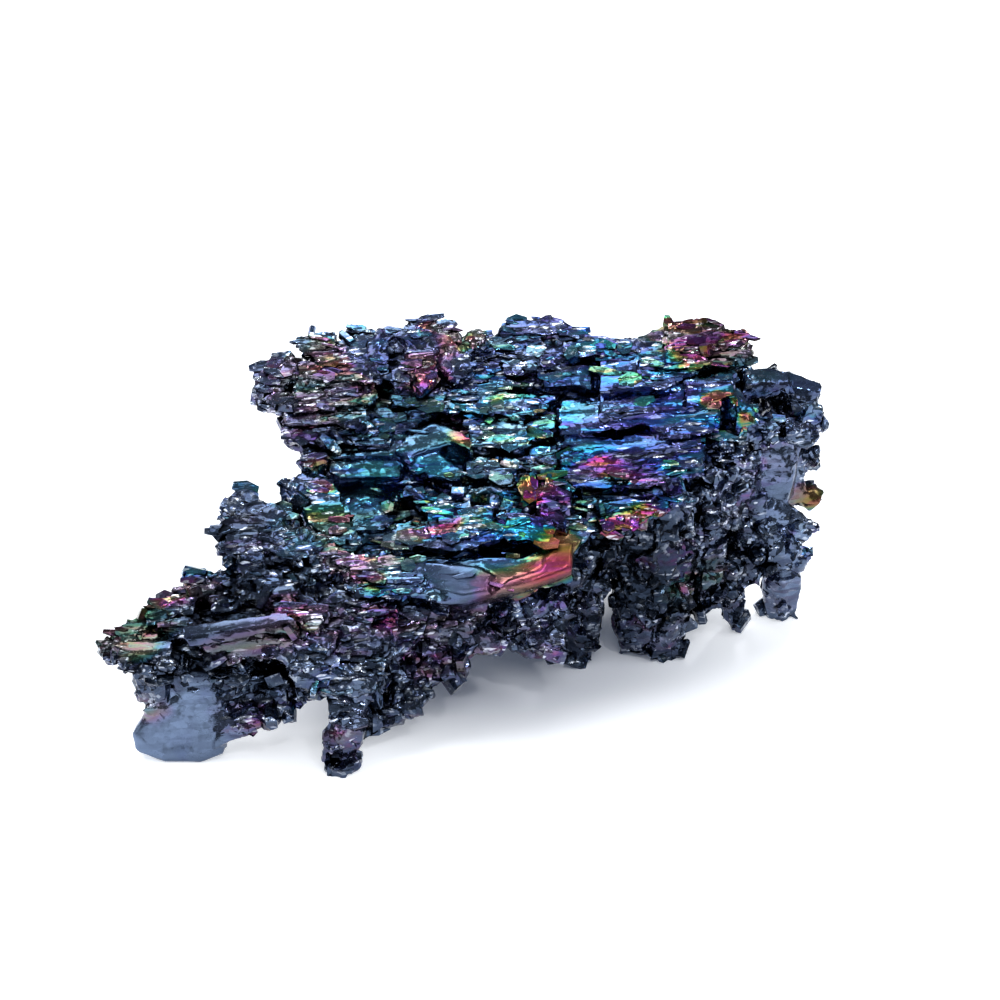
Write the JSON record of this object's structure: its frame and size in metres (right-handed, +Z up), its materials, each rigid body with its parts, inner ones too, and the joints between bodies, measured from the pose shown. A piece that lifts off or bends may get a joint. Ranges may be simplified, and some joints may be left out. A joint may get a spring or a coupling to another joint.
{
  "type": "silicon carbide specimen",
  "caption": "Iridescent cluster of intergrown silicon carbide crystals with a tilted plateau of stepped ledges, an arm and blocky feet.",
  "frame": {"origin": "middle of the specimen's footprint, in the plane of its feet", "axes": "+Z up, the plateau faces -Y and up, +X along the plateau's ledges to the side with the stack of blocks"},
  "size_m": [0.0846, 0.0483, 0.0394],
  "materials": {
    "carbide": "dark grey glassy crystal faces with a thin-film sheen of teal, green, violet, magenta and gold"
  },
  "bodies": {
    "root": {"crystal_cluster": "carbide"}
  },
  "joints": []
}
